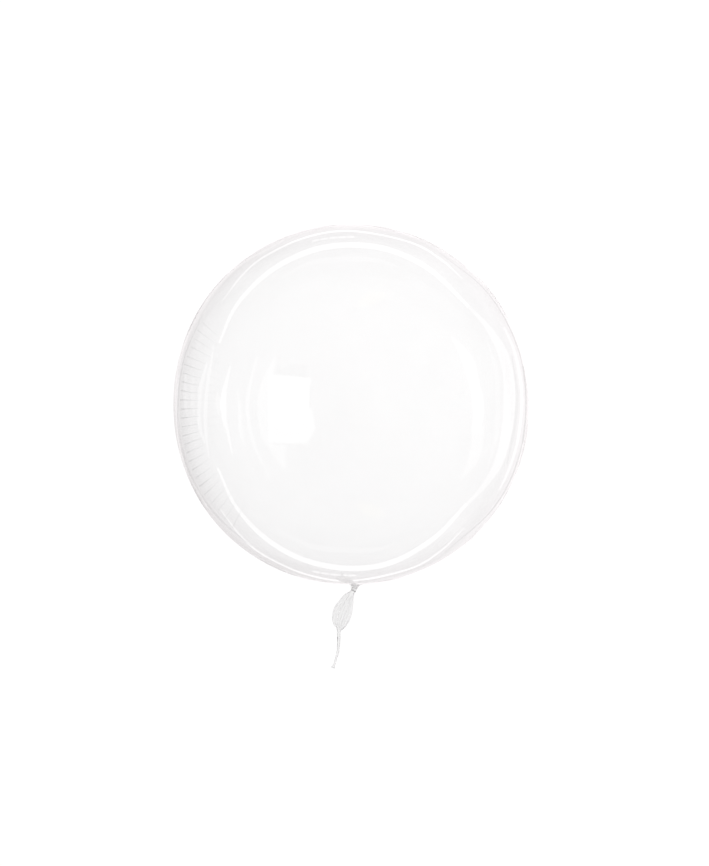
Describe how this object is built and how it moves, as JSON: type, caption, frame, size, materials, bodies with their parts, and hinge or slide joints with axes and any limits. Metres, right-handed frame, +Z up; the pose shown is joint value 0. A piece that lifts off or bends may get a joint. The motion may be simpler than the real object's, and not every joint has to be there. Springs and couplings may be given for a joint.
{
  "type": "clear bubble balloon",
  "caption": "Round see-through bubble balloon, blown up tight, with its knotted neck left as a creased leaf and a thin twisted strand, lying loose.",
  "frame": {"origin": "middle of the small flat spot that the balloon rests on, at floor height", "axes": "+Z up; the neck points down and forwards, along -Y and -Z, in the YZ plane; +X to the right when looking at the neck from the front"},
  "size_m": [0.45, 0.4827, 0.453],
  "materials": {
    "clear_film": "smooth clear stretch film, high gloss"
  },
  "bodies": {
    "root": {"bubble_balloon": "clear_film"}
  },
  "joints": []
}
